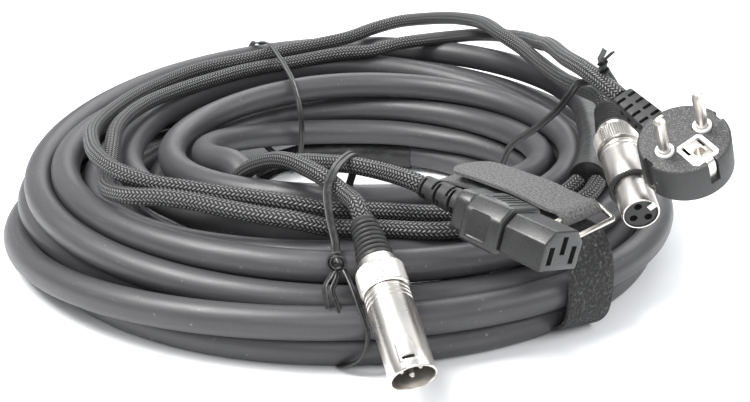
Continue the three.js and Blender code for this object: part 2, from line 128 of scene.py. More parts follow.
class Shader:
    """A Principled material that is built up from procedural layers."""

    def __init__(self, name, rough, metallic=0.0, uv=False):
        self.material = bpy.data.materials.new(name)
        self.material.use_nodes = True
        self.tree = self.material.node_tree
        self.bsdf = next(n for n in self.tree.nodes if n.type == "BSDF_PRINCIPLED")
        self.bsdf.inputs["Metallic"].default_value = metallic
        self.bsdf.inputs["Roughness"].default_value = rough
        self.coord = add(self.tree, "TexCoord")
        self.place = self.coord.outputs["UV" if uv else "Object"]
        self.height = None

    def math(self, operation, a, b=0.0, c=0.0):
        node = add(self.tree, "Math", {0: a, 1: b, 2: c}, operation=operation)
        return node.outputs[0]

    def stretched(self, x, y, z):
        return add(self.tree, "Mapping", {"Vector": self.place, "Scale": (x, y, z)}).outputs[0]

    def noise(self, scale, detail=3.0, rough=0.5, vector=None):
        return add(self.tree, "TexNoise", {
            "Vector": vector or self.place, "Scale": scale, "Detail": detail, "Roughness": rough,
        }).outputs[0]

    def ramp(self, value, low, high, out_low=0.0, out_high=1.0):
        node = add(self.tree, "MapRange", {
            "Value": value, "From Min": low, "From Max": high, "To Min": out_low, "To Max": out_high,
        })
        return node.outputs[0]

    def mix(self, factor, a, b):
        node = self.tree.nodes.new("ShaderNodeMix")
        node.data_type = "RGBA"
        for index, value in ((0, factor), (6, a), (7, b)):
            if isinstance(value, bpy.types.NodeSocket):
                self.tree.links.new(value, node.inputs[index])
            else:
                node.inputs[index].default_value = value
        return node.outputs[2]

    def colour(self, value):
        if isinstance(value, bpy.types.NodeSocket):
            self.tree.links.new(value, self.bsdf.inputs["Base Color"])
        else:
            self.bsdf.inputs["Base Color"].default_value = value

    def roughness(self, value):
        self.tree.links.new(value, self.bsdf.inputs["Roughness"])

    def bump(self, height, distance, strength=1.0):
        sockets = {"Height": height, "Distance": distance, "Strength": strength}
        if self.height is not None:
            sockets["Normal"] = self.height
        self.height = add(self.tree, "Bump", sockets).outputs[0]
        self.tree.links.new(self.height, self.bsdf.inputs["Normal"])


def grey(value, warm=0.0):
    return (value * (1 + warm), value, value * (1 - warm), 1)


def rubber_jacket():
    """Matt extruded rubber: lengthwise scuffs, pale dust specks and a slight ripple."""
    s = Shader("rubber_jacket", 0.5, uv=True)
    broad = s.noise(1.0, 4, vector=s.stretched(9, 2.5, 1))
    scuff = s.noise(1.0, 6, 0.7, vector=s.stretched(60, 30, 1))
    dust = s.noise(1.0, 2, vector=s.stretched(420, 19, 1))
    worn = s.ramp(scuff, 0.56, 0.78)
    base = s.mix(s.ramp(broad, 0.3, 0.7), (0.036, 0.035, 0.038, 1), (0.056, 0.055, 0.058, 1))
    base = s.mix(s.math("MULTIPLY", worn, 0.35), base, grey(0.12))
    s.colour(s.mix(s.ramp(dust, 0.69, 0.76, 0, 0.4), base, grey(0.3)))
    s.roughness(s.ramp(scuff, 0.3, 0.8, 0.36, 0.56))
    s.bump(s.noise(1.0, 3, vector=s.stretched(30, 3, 1)), 0.0004, 0.5)
    s.bump(s.noise(1.0, 4, vector=s.stretched(900, 40, 1)), 0.00008, 0.5)
    return s.material


def braided_sleeve():
    """Plaited monofilament: strands cross over and under, each of several fine filaments. The strand crowns
    carry a painted highlight and the gaps between strands carry painted shade.
    """
    s = Shader("braided_sleeve", 0.4, uv=True)
    split = add(s.tree, "SeparateXYZ", {0: s.place})
    along = s.math("MULTIPLY", split.outputs[0], 1 / 0.0020)
    round_ = s.math("MULTIPLY", split.outputs[1], 14.0)
    a = s.math("ADD", along, round_)
    b = s.math("SUBTRACT", along, round_)
    step = s.math("ADD", s.math("FLOOR", a), s.math("MULTIPLY", s.math("FLOOR", b), 3.0))
    parity = s.math("FLOORED_MODULO", step, 4.0)
    over = s.math("GREATER_THAN", parity, 1.5)

    def either(first, second):
        return add(s.tree, "Mix", {0: over, 2: first, 3: second}, data_type="FLOAT").outputs[0]

    across = s.math("FRACT", either(b, a))
    run = s.math("ADD", either(parity, s.math("SUBTRACT", 3.0, parity)), s.math("FRACT", either(a, b)))
    wave = s.math("SINE", s.math("MULTIPLY", across, math.pi))
    crown = s.math("SINE", s.math("MULTIPLY", run, math.pi / 2))
    height = s.math("MULTIPLY", wave, s.math("MULTIPLY_ADD", crown, 0.6, 0.4))
    fine = s.math("PINGPONG", s.math("MULTIPLY", across, 6.0), 1.0)
    # Painted highlight: the crown of each strand is coloured pale grey and striped by its filaments.
    painted_highlight = s.math("MULTIPLY", s.ramp(height, 0.62, 0.85), s.math("MULTIPLY_ADD", fine, 0.4, 0.6))
    # Painted shade: the gaps between strands are coloured darker than the strands themselves.
    base = s.mix(s.ramp(height, 0.3, 0.6), grey(0.002), grey(0.016))
    s.colour(s.mix(painted_highlight, base, grey(0.22)))
    s.roughness(s.ramp(height, 0.2, 1.0, 0.6, 0.24))
    s.bump(height, 0.0006, 1.0)
    s.bump(fine, 0.00012, 0.6)
    return s.material


def heat_shrink():
    """Shrunk sleeving: satin, with soft wrinkles and a few rubbed places."""
    s = Shader("heat_shrink", 0.38)
    rub = s.noise(160, 5, 0.6)
    s.colour(s.mix(s.ramp(rub, 0.5, 0.75), grey(0.012), grey(0.035)))
    s.roughness(s.ramp(rub, 0.3, 0.8, 0.3, 0.55))
    s.bump(s.noise(220, 3), 0.0008, 0.5)
    s.bump(s.noise(2500, 2), 0.00005, 0.5)
    return s.material


def nickel():
    """Satin nickel plate with a faint warm cast and a cloudy polish."""
    s = Shader("nickel", 0.25, 1.0)
    cloud = s.noise(60, 3)
    s.colour(s.mix(s.ramp(cloud, 0.3, 0.7), (0.68, 0.65, 0.61, 1), (0.77, 0.74, 0.70, 1)))
    s.roughness(s.ramp(cloud, 0.3, 0.75, 0.26, 0.36))
    s.bump(s.noise(700, 2), 0.000006, 0.5)
    return s.material


def moulded(name="moulded_plastic", light=0.03, grain=1500, depth=0.00012, rough=0.52):
    """Moulded PVC with spark-eroded grain and slightly paler, rubbed high spots."""
    s = Shader(name, rough)
    skin = s.noise(grain, 3, 0.6)
    rub = s.noise(120, 4)
    base = s.mix(s.ramp(rub, 0.35, 0.75), grey(light), grey(light * 1.35))
    s.colour(s.mix(s.ramp(skin, 0.55, 0.8, 0, 0.5), base, grey(light * 2.4)))
    s.roughness(s.ramp(skin, 0.3, 0.7, rough - 0.1, rough + 0.12))
    s.bump(skin, depth, 0.8)
    return s.material


def plug_face():
    """Moulded PVC with a coarse grain. Its front face carries painted glints: pale specks on the grain."""
    s = Shader("plug_face", 0.45)
    skin = s.noise(1500, 3, 0.6)
    sides = {0: s.coord.outputs["Normal"], 1: MAINS["axis"]}
    facing = add(s.tree, "VectorMath", sides, operation="DOT_PRODUCT").outputs["Value"]
    # Painted glints: pale specks on the grain, coloured only on the face that looks along the plug's axis.
    painted_glints = s.math("MULTIPLY", s.ramp(skin, 0.5, 0.68), s.ramp(facing, 0.8, 0.95, 0.12, 1.0))
    s.colour(s.mix(painted_glints, grey(0.026), grey(0.15)))
    s.roughness(s.ramp(skin, 0.3, 0.7, 0.35, 0.6))
    s.bump(skin, 0.0003, 0.8)
    return s.material


def boot_rubber():
    """Matt black rubber with a few rubbed places."""
    s = Shader("boot_rubber", 0.55)
    rub = s.noise(300, 4)
    s.colour(s.mix(s.ramp(rub, 0.4, 0.75), grey(0.014), grey(0.03)))
    s.roughness(s.ramp(rub, 0.3, 0.7, 0.45, 0.65))
    s.bump(s.noise(2600, 2), 0.00006, 0.6)
    return s.material


def white_plastic():
    """White moulded plastic, very slightly mottled."""
    s = Shader("white_plastic", 0.4)
    s.colour(s.mix(s.noise(300, 3), grey(0.7, 0.01), grey(0.82, 0.01)))
    s.bump(s.noise(1500, 2), 0.00004, 0.5)
    return s.material


def strap_fabric():
    """Hook-and-loop tape: matted black pile on the hanging part, a finer grey nap on the flap."""
    s = Shader("strap_fabric", 0.8, uv=True)
    split = add(s.tree, "SeparateXYZ", {0: s.place})
    flap = s.ramp(split.outputs[0], STRAP_PILE_END, STRAP_PILE_END + 0.004)
    coarse = s.noise(1.0, 5, 0.7, vector=s.stretched(640, 34, 1))
    fine = s.noise(1.0, 6, 0.8, vector=s.stretched(950, 50, 1))
    clump = s.noise(1.0, 3, vector=s.stretched(260, 14, 1))
    tuft = s.math("MULTIPLY", s.ramp(coarse, 0.5, 0.66), s.ramp(clump, 0.3, 0.65, 0.3, 1.0))
    pile = s.mix(tuft, grey(0.003), grey(0.11))
    nap = s.mix(s.ramp(fine, 0.42, 0.62), grey(0.03), grey(0.2))
    s.colour(s.mix(flap, pile, nap))
    s.roughness(s.ramp(fine, 0.3, 0.7, 0.7, 0.95))
    s.bsdf.inputs["Sheen Weight"].default_value = 0.08
    s.bump(coarse, 0.0012, 0.9)
    s.bump(fine, 0.0003, 0.8)
    return s.material


def tie_vinyl():
    """Black vinyl with scuffs and a slight ripple."""
    s = Shader("tie_vinyl", 0.35)
    scuff = s.noise(500, 4)
    s.colour(s.mix(s.ramp(scuff, 0.4, 0.8), grey(0.016), grey(0.04)))
    s.roughness(s.ramp(scuff, 0.3, 0.7, 0.28, 0.5))
    s.bump(s.noise(900, 3), 0.0001, 0.5)
    return s.material


LOOK = {
    "rubber_jacket": rubber_jacket(), "braided_sleeve": braided_sleeve(), "heat_shrink": heat_shrink(),
    "nickel": nickel(), "moulded_plastic": moulded(), "boot_rubber": boot_rubber(),
    "white_plastic": white_plastic(), "strap_fabric": strap_fabric(), "tie_vinyl": tie_vinyl(),
    "plug_face": plug_face(),
    "insert_plastic": moulded("insert_plastic", 0.012, 1800, 0.00005, 0.5),
    "coupler_plastic": moulded("coupler_plastic", 0.019, 1700, 0.00004, 0.33),
}


# ---- mesh helpers ----
def new_object(name, mesh, look, body="cable", replaces=()):
    piece = linked(name, mesh)
    mesh.materials.clear()
    mesh.materials.append(LOOK[look])
    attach(piece, body)
    if replaces:
        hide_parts(*replaces)
    return piece


def smooth(mesh, angle=30):
    mesh.shade_smooth()
    mesh.set_sharp_from_angle(angle=math.radians(angle))
    return mesh


def applied(mesh, setups):
    """The mesh after some modifiers, each (kind, settings)."""
    holder = linked("holder", mesh)
    for kind, settings in setups:
        modifier = holder.modifiers.new(kind.lower(), kind)
        for key, value in settings.items():
            setattr(modifier, key, value)
    seen = holder.evaluated_get(bpy.context.evaluated_depsgraph_get())
    result = bpy.data.meshes.new_from_object(seen)
    bpy.data.objects.remove(holder)
    return result


def cut(mesh, *tools):
    for tool in tools:
        cutter = linked("cutter", tool)
        mesh = applied(mesh, [("BOOLEAN", dict(operation="DIFFERENCE", object=cutter, solver="EXACT"))])
        bpy.data.objects.remove(cutter)
    return mesh


def bevelled(mesh, width, segments=2, angle=32):
    limit = dict(width=width, segments=segments, limit_method="ANGLE", angle_limit=math.radians(angle))
    return applied(mesh, [("BEVEL", limit)])


def from_lists(name, verts, faces):
    mesh = bpy.data.meshes.new(name)
    mesh.from_pydata([tuple(v) for v in verts], [], faces)
    mesh.validate()
    fix = bmesh.new()
    fix.from_mesh(mesh)
    bmesh.ops.remove_doubles(fix, verts=fix.verts, dist=1e-5)
    bmesh.ops.recalc_face_normals(fix, faces=fix.faces)
    fix.to_mesh(mesh)
    fix.free()
    return mesh


def turned(name, profile, segments=64, teeth=None):
    """A turned body about local Z from (radius, z) pairs; teeth = (z low, z high, count, depth)."""
    verts, faces = [], []
    for radius, z in profile:
        for i in range(segments):
            angle = 2 * math.pi * i / segments
            r = radius
            if teeth and teeth[0] < z < teeth[1] and radius > 0:
                r += teeth[3] * (0.5 * math.cos(teeth[2] * angle) - 0.5)
            verts.append((r * math.cos(angle), r * math.sin(angle), z))
    for j in range(len(profile) - 1):
        for i in range(segments):
            k = (i + 1) % segments
            low, high = j * segments, (j + 1) * segments
            faces.append((low + i, low + k, high + k, high + i))
    return from_lists(name, verts, faces)


def prism(name, outline, low, high):
    n = len(outline)
    verts = [(x, y, z) for z in (low, high) for x, y in outline]
    faces = [tuple(range(n - 1, -1, -1)), tuple(range(n, 2 * n))]
    faces += [(i, (i + 1) % n, n + (i + 1) % n, n + i) for i in range(n)]
    return from_lists(name, verts, faces)


def block(x, y, z, cx=0.0, cy=0.0, cz=0.0):
    left, right, front, back = cx - x / 2, cx + x / 2, cy - y / 2, cy + y / 2
    outline = [(left, front), (right, front), (right, back), (left, back)]
    return prism("block", outline, cz - z / 2, cz + z / 2)


def ring(radius, sides):
    turns = [2 * math.pi * i / sides for i in range(sides)]
    return [(radius * math.cos(turn), radius * math.sin(turn)) for turn in turns]


def rod(radius, low, high, x=0.0, y=0.0, segments=32):
    return prism("rod", [(x + px, y + py) for px, py in ring(radius, segments)], low, high)


def joined(name, meshes):
    whole = bmesh.new()
    for mesh in meshes:
        whole.from_mesh(mesh)
    result = bpy.data.meshes.new(name)
    whole.to_mesh(result)
    whole.free()
    return result


def placed(name, mesh, matrix, look, body="cable", replaces=(), angle=30):
    mesh.transform(TO_ROW @ matrix)
    return new_object(name, smooth(mesh, angle), look, body, replaces)


def hermite(a, b, m1, m2, t):
    """The value at t, from 0 to 1, between a and b with end slopes m1 and m2."""
    return a + m1 * t + (3 * (b - a) - 2 * m1 - m2) * t * t + (2 * (a - b) + m1 + m2) * t ** 3


def spline(points, step):
    """Points along a centripetal Catmull-Rom curve."""
    p = np.array(points, float)
    p = np.vstack([2 * p[0] - p[1], p, 2 * p[-1] - p[-2]])
    out = []
    for a, b, c, d in zip(p, p[1:], p[2:], p[3:]):
        t0, t1, t2 = (max(np.linalg.norm(q - r), 1e-6) ** 0.5 for q, r in ((a, b), (b, c), (c, d)))
        m1 = ((b - a) / t0 - (c - a) / (t0 + t1) + (c - b) / t1) * t1
        m2 = ((c - b) / t1 - (d - b) / (t1 + t2) + (d - c) / t2) * t1
        n = max(1, math.ceil(np.linalg.norm(c - b) / step))
        out += [hermite(b, c, m1, m2, i / n) for i in range(n)]
    return np.array(out + [p[-2]])


def frames(line, closed=False, first=(0.1, 0.2, 1.0)):
    """Unit tangents and a normal carried along the line without twisting."""
    if closed:
        ahead, behind = np.roll(line, -1, 0), np.roll(line, 1, 0)
    else:
        ahead = np.vstack([line[1:], 2 * line[-1] - line[-2]])
        behind = np.vstack([2 * line[0] - line[1], line[:-1]])
    tangents = ahead - behind
    tangents /= np.linalg.norm(tangents, axis=1)[:, None]
    normal = np.array(first, float)
    normals = []
    for t in tangents:
        normal = normal - t * normal.dot(t)
        normal /= np.linalg.norm(normal)
        normals.append(normal)
    return tangents, np.array(normals)


def along(line):
    """How far along the line each of its points is."""
    return np.concatenate([[0], np.cumsum(np.linalg.norm(np.diff(line, axis=0), axis=1))])


def swept(name, line, section, radius=None, closed=False, first=(0.1, 0.2, 1.0)):
    """A closed section carried along a line, with UVs in metres along and 0 to 1 around it."""
    line = np.asarray(line, float)
    tangents, normals = frames(line, closed, first)
    count, sides = len(line), len(section)
    lengths = along(line)
    verts = []
    for i, (centre, t, n) in enumerate(zip(line, tangents, normals)):
        side = np.cross(t, n)
        scale = radius(lengths[i] / lengths[-1]) if radius else 1.0
        for x, y in section:
            verts.append(tuple(centre + scale * (x * n + y * side)))
    faces, uvs = [], []
    for i in range(count if closed else count - 1):
        j = (i + 1) % count
        far = lengths[i + 1] if i + 1 < count else lengths[-1] + np.linalg.norm(line[0] - line[-1])
        for k in range(sides):
            m = (k + 1) % sides
            faces.append((i * sides + k, i * sides + m, j * sides + m, j * sides + k))
            u0, u1, v0, v1 = lengths[i] * MM, far * MM, k / sides, (k + 1) / sides
            uvs += [(u0, v0), (u0, v1), (u1, v1), (u1, v0)]
    if not closed:
        faces += [tuple(range(sides - 1, -1, -1)), tuple((count - 1) * sides + k for k in range(sides))]
        uvs += [(0, 0)] * (2 * sides)
    mesh = bpy.data.meshes.new(name)
    mesh.from_pydata(verts, [], faces)
    layer = mesh.uv_layers.new(name="along")
    layer.data.foreach_set("uv", [value for uv in uvs for value in uv])
    fix = bmesh.new()
    fix.from_mesh(mesh)
    bmesh.ops.recalc_face_normals(fix, faces=fix.faces)
    fix.to_mesh(mesh)
    fix.free()
    return mesh


# ---- cord routes, as in the CAD model ----
def leaving(matrix, place, onward):
    start = matrix @ Vector(place)
    return [tuple(start), tuple(matrix @ (Vector(place) + Vector(onward)))]


AT_MALE, AT_FEMALE, AT_IEC, AT_MAINS = (station(**s) for s in (MALE, FEMALE, IEC, MAINS))
TAILS = {
    "tail_xlr_female": leaving(AT_FEMALE, (0, 0, -76.6), (0, 0, -STRAIGHT)) + [
        (119, -40, 82.5), (115, -15, 80), (111.5, 12, 78.5), (107, 36, 79), (102, 54, 81), (92, 74, 85),
        (87, 97, 85.5), (81, 126, 82.5), (68, 146, 80), (52, 158, 77), (37, 160, 75), (20, 153, 72),
        (4, 141, 69), (-14, 132, 67), (-32, 126, 65), (-56, 116, 62), (-85, 97, 60), (-109, 62, 58),
        (-121, 29, 57), (-127, -15, 57.5),
        (-122, -52, 60), (-114, -78, 61), (-103, -95, 60), (-86, -107, 58), (-68, -113, 57), (-54, -117, 56),
        (-37, -121, 55), (-23, -125, 54), (-6, -125, 51), (16, -119, 48), (38, -119, 46.5), (70, -116, 46),
        (88, -106, 45.5), (98, -98, 46), (105, -92, 47.6), (110.2, -87, 50.2)],
    "tail_mains": leaving(AT_MAINS, (0, 43.9, -9), (0, STRAIGHT, 0)) + [
        (110, -90, 104.5), (106, -60, 103), (105, -30, 101), (107, 5, 95), (109.8, 42, 87), (108, 72, 82.5),
        (103, 100, 78), (95, 120, 74.5), (84, 133, 72), (69.5, 137, 70), (54, 134.5, 69), (35, 129, 67.5),
        (19, 122, 65), (-2, 118, 64), (-32, 112, 60), (-55, 100, 59), (-74, 82, 58), (-92, 61, 57),
        (-106, 35, 57), (-114, 5, 57), (-116, -19, 56.5), (-114, -44, 54), (-112, -66, 50.5),
        (-109, -90, 50), (-95, -113, 54), (-80, -121, 56), (-67, -126, 56), (-53, -132, 55),
        (-35, -137, 53), (-22, -140, 52),
        (-6, -139, 48), (16, -136, 46), (42, -138, 45.5), (68, -130, 45), (86, -121, 45),
        (102, -109, 45.3), (113, -98, 47.2), (119, -87.7, 50)],
    "tail_xlr_male": leaving(AT_MALE, (0, 0, -77.6), (0, 0, -STRAIGHT)) + [
        (1.7, -135, 60.9), (-7.4, -122, 64.2), (-14.5, -110, 64.5), (-22, -98, 64.2), (-29.7, -86, 61.7),
        (-37.7, -74, 56.5), (-45, -63, 50), (-55, -48, 38), (-64, -32, 27), (-72, -12, 16), (-76, 8, 8.6),
        (-74, 32, 6.4), (-64, 60, 6.4), (-49, 80, 6.4), (-38, 90.5, 6.8), (-26.6, 96.4, 8.6)],
    "tail_coupler": leaving(AT_IEC, (0, 0, -75.6), (0, 0, -STRAIGHT)) + [
        (17.6, -122, 67.3), (8.6, -113, 66.6), (1.8, -105, 65.3), (-5.5, -97, 63.3), (-12.7, -88, 61),
        (-20.2, -78, 58), (-30, -66, 52), (-41, -52, 42), (-51, -36, 30), (-59, -15, 17), (-63, 6, 8.6),
        (-61, 30, 6.4), (-53, 54, 6.4), (-41, 73, 6.4), (-34, 82, 6.8), (-27, 87.6, 8.6)],
}
BREAKOUT_TOP = [(131, 0, 58), (126.5, -42.5, 54.25), (115, -85, 50.5)]
BREAKOUT_LOW = [(42, 86, 8.9), (9, 95, 8.9), (-24, 92, 8.9)]
MALE_BARREL = [(27, -203, 10.3), (12, -158, 48)]

# The coil's turns in winding order, as (radius, height) at azimuths 0, 90, 180 and 270 degrees of each.
TURNS = [
    ((131, 58), (157, 57), (155.5, 33), (163, 23)),
    ((148, 20.5), (163, 22), (163, 20.5), (156.5, 7.2)),
    ((143, 7.2), (153, 7.2), (152, 7.2), (172, 7.2)),
    ((157, 7.2), (168, 7.2), (167, 8), (178, 20)),
    ((162, 20.5), (156, 41), (144, 41), (157, 37)),
    ((146, 34), (140, 50), (130, 30), (141, 37)),
    ((132, 35), (123, 58.5), (111, 44), (121, 44)),
    ((119, 43), (92, 49.5), (90, 40), (88, 42)),
    ((106, 36), (94, 33.5), (97, 24), (93, 27)),
    ((120, 27), (112, 22), (116, 21), (109, 20)),
    ((110, 20), (87, 22), (74, 34), (70, 40)),
]
TURN_COUNT = len(TURNS)
TURN_STEP = 10

# The cable comes down to the floor inside the coil, as (azimuth in the last turn, radius, height),
# and runs on through these points to the lower breakout.
LAST_LEAD = [(360, 99, 10), (375, 97.5, 7.6), (390, 98, 7.6)]
LEAD_TO_BREAKOUT = [(75, 62, 7.8), (60, 77, 8.4), (51.5, 82, 8.7), (42.5, 85.8, 8.9)]

# One more key before the first turn's start and after the last turn's end, as (azimuth from there, radius,
# height). They only set the slopes there.
BEFORE_FIRST = (-90, 120, 55)
AFTER_LAST = (90, 98, 8)


def eased(t):
    t = min(1.0, max(0.0, t))
    return t * t * (3 - 2 * t)


def unsettled_turns():
    """Where the cable lies before the turns settle against each other."""
    keys = [(360 * i + 90 * j, r, z) for i, turn in enumerate(TURNS) for j, (r, z) in enumerate(turn)]
    keys += [(a + 360 * (TURN_COUNT - 1), r, z) for a, r, z in LAST_LEAD]
    end = keys[-1][0]
    beyond, *spot_beyond = AFTER_LAST
    keys = [BEFORE_FIRST] + keys + [(360 * TURN_COUNT + beyond, *spot_beyond)]
    points = []
    for azimuth in range(0, end + 1, TURN_STEP):
        k = next(i for i in range(1, len(keys) - 2) if keys[i][0] <= azimuth <= keys[i + 1][0])
        (a0, *p0), (a1, *p1), (a2, *p2), (a3, *p3) = keys[k - 1:k + 3]
        t, w = (azimuth - a1) / (a2 - a1), a2 - a1
        spot = []
        for v0, v1, v2, v3 in zip(p0, p1, p2, p3):
            m1, m2 = (v2 - v0) / (a2 - a0) * w, (v3 - v1) / (a3 - a1) * w
            spot.append(hermite(v1, v2, m1, m2, t))
        angle = math.radians(azimuth)
        points.append((spot[0] * math.cos(angle), spot[0] * math.sin(angle), max(spot[1], CABLE_R)))
    return points + LEAD_TO_BREAKOUT


def stops():
    """What the turns may not run into: (points, radii) of the tails, breakouts and one connector."""
    points, radii = [], []
    lines = [
        (TAILS["tail_xlr_female"][2:], TAIL_R), (TAILS["tail_mains"][7:], TAIL_R),
        (TAILS["tail_xlr_male"], TAIL_R), (TAILS["tail_coupler"], TAIL_R),
        (BREAKOUT_TOP, 9.0), (BREAKOUT_LOW, 8.6), (MALE_BARREL, 10.5),
    ]
    for route, radius in lines:
        for p in spline(route, 7):
            points.append(p)
            radii.append(radius)
    return np.array(points), np.array(radii)


# How the turns settle: rounds of pushing, the share of each push and of each evening-out that is taken,
# the air left between turns and round the stops, and how many neighbours along the cable are let off.
SETTLE_ROUNDS = 160
PUSH_SHARE = 0.35
EVEN_SHARE = 0.6
TURN_AIR = 0.15
STOP_AIR = 0.3
NEIGHBOURS = 8


def pushes(points, others, least, apply=1.0):
    """For each point, the sum of the pushes that would bring it the least distance from the others."""
    gap = points[:, None] - others[None]
    away = np.linalg.norm(gap, axis=2) + 1e-9
    lack = np.where(apply, np.clip(least - away, 0, None), 0)
    return (gap / away[..., None] * lack[..., None]).sum(1)


def settled_turns():
    """The turns pushed apart until they lie a diameter from each other and clear of the tails."""
    rest = np.array(unsettled_turns())
    solid, radii = stops()
    order = np.arange(len(rest))
    apart = np.abs(order[:, None] - order[None]) > NEIGHBOURS
    free = np.ones(len(rest))
    free[:2] = free[-4:] = 0
    moved = np.zeros_like(rest)
    for _ in range(SETTLE_ROUNDS):
        now = rest + moved
        push = pushes(now, now, 2 * CABLE_R + TURN_AIR, apart)
        push += pushes(now, solid, CABLE_R + radii + STOP_AIR)
        moved += PUSH_SHARE * push * free[:, None]
        even = moved.copy()
        even[1:-1] = 0.5 * moved[1:-1] + 0.25 * (moved[:-2] + moved[2:])
        moved = (moved + (even - moved) * EVEN_SHARE) * free[:, None]
        moved[:, 2] = np.maximum(moved[:, 2], CABLE_R - rest[:, 2])
    return rest + moved


def length_of(line):
    return float(np.linalg.norm(np.diff(line, axis=0), axis=1).sum())


def make_main_cable():
    line = spline(settled_turns(), 5)
    mesh = smooth(swept("main_cable", line, ring(CABLE_R, 24)), 60)
    mesh.transform(TO_ROW)
    piece = new_object("main_cable", mesh, "rubber_jacket",
                       replaces=("cable_coil", "cable_lead_top", "cable_lead_low"))


def make_tails():
    for name, route in TAILS.items():
        line = spline(route[::-1], 2.5)
        mesh = smooth(swept(name, line, ring(TAIL_R, 16)), 60)
        mesh.transform(TO_ROW)
        piece = new_object("braided_" + name, mesh, "braided_sleeve", replaces=(name,))


make_main_cable()


# ---- XLR connectors ----
def boot(prefix, at, top, end, ribs):
    """A ribbed rubber boot whose ribs are rounded and stand on a taper."""
    profile = [(0, -end), (4.4, -end), (5.2, -end + 0.5), (5.6, -end + 1.6)]
    pitch = (end - top - 4.4) / ribs
    for i in range(ribs):
        z = -end + 2.6 + i * pitch
        r = 5.5 + 2.0 * (i + 0.5) / ribs
        profile += [(r - 0.55, z), (r - 0.1, z + 0.12 * pitch), (r + 0.3, z + 0.32 * pitch),
                    (r + 0.35, z + 0.58 * pitch), (r, z + 0.8 * pitch), (r - 0.6, z + 0.9 * pitch)]
    profile += [(7.5, -top - 1.6), (7.7, -top - 0.8), (7.7, -top), (0, -top)]
    mesh = turned(prefix + "_ribbed_boot", profile, 48)
    return placed(prefix + "_ribbed_boot", mesh, at, "boot_rubber",
                  replaces=(prefix + "_boot",), angle=40)


def collar(prefix, at, start, cone, end):
    """The knurled cable nut: fine teeth between two lips, then a smooth cone."""
    profile = [(0, -end), (7.5, -end), (7.9, -end + 0.3)]
    profile += [(9.1, -cone - 0.5), (9.6, -cone), (10.0, -cone + 0.35)]
    low, high = -cone + 0.8, -start - 1.5
    profile += [(10.2, low)] + [(10.3, low + (high - low) * i / 8) for i in range(9)] + [(10.2, high)]
    profile += [(10.0, -start - 0.9), (9.7, -start - 0.6), (9.2, -start - 0.3), (0, -start - 0.3)]
    mesh = turned(prefix + "_knurled_nut", profile, 240, teeth=(low - 0.01, high + 0.01, 60, 0.4))
    return placed(prefix + "_knurled_nut", mesh, at, "nickel",
                  replaces=(prefix + "_collar",), angle=25)


def groove(z, radius, width=0.9, depth=0.5):
    half, floor = width / 2, radius - depth
    low, high = z - half, z + half
    return [(radius, low - 0.15), (floor, low + 0.1), (floor, high - 0.1), (radius, high + 0.15)]


def arched_panel(prefix, at):
    """A low raised panel on the shell with an arched rear end and a window near the rim."""
    crown, skin, sunk = 9.72, 9.42, 9.2
    rear, length, arch, half_width = -14.6, 11.6, 4.2, 4.1
    columns, rows = 16, 22
    verts, faces = [], []
    for layer in (0, 1):
        for j in range(rows + 1):
            z = rear + length * j / rows
            share = min(1.0, (z - rear) / arch)
            half = half_width * math.sqrt(max(0.0, share * (2 - share)))
            for i in range(columns + 1):
                across = 2 * i / columns - 1
                x = max(half, 0.15) * across
                edge = min(1.0, (1 - abs(across)) * 5, (rows - j) * 1.2, j * 1.2 + 0.2)
                r = sunk if layer else skin + (crown - skin) * edge
                verts.append((r * math.sin(x / r), r * math.cos(x / r), z))
    row_size = columns + 1
    top = (rows + 1) * row_size
    for j in range(rows):
        for i in range(columns):
            a = j * row_size + i
            faces.append((a, a + 1, a + row_size + 1, a + row_size))
            faces.append((top + a, top + a + row_size, top + a + row_size + 1, top + a + 1))
    edge = [j * row_size for j in range(rows + 1)]
    edge += [rows * row_size + i for i in range(1, row_size)]
    edge += [j * row_size + columns for j in range(rows - 1, -1, -1)]
    edge += [i for i in range(columns - 1, 0, -1)]
    faces += [(p, q, top + q, top + p) for p, q in zip(edge, edge[1:] + edge[:1])]
    mesh = from_lists(prefix, verts, faces)
    mesh = cut(mesh, block(5.0, 4, 2.0, 0, 9.6, -4.9))
    return placed(prefix, mesh, at, "nickel", angle=35)


def make_xlr_male():
    at = AT_MALE
    outer = [(0, -40), (8.8, -40), (9.0, -39.7), (9.0, -39.2), (9.3, -39.0)]
    for z in (-37.6, -35.6, -33.6):
        outer += groove(z, 9.45)
    outer += [(9.5, -31.8), (9.5, -24), (9.5, -16), (9.5, -8), (9.5, -0.7)]
    outer += [(9.3, -0.2), (9.05, 0), (8.75, -0.05), (8.6, -0.4)]
    inner = [(8.5, -1.2), (8.45, -9), (8.45, -18.4), (0, -18.4)]
    shell = turned("male_shell", outer + inner, 96)
    shell = cut(shell, block(5.0, 5, 2.0, 0, 9.0, -4.9))
    made = [placed("xlr_male_barrel", shell, at, "nickel", replaces=("xlr_male_shell",), angle=30)]
    made.append(arched_panel("xlr_male_panel", at))
    made.append(collar("xlr_male", at, 40, 51, 55.6))
    made.append(boot("xlr_male", at, 55.9, MALE_LENGTH, 7))
    return made


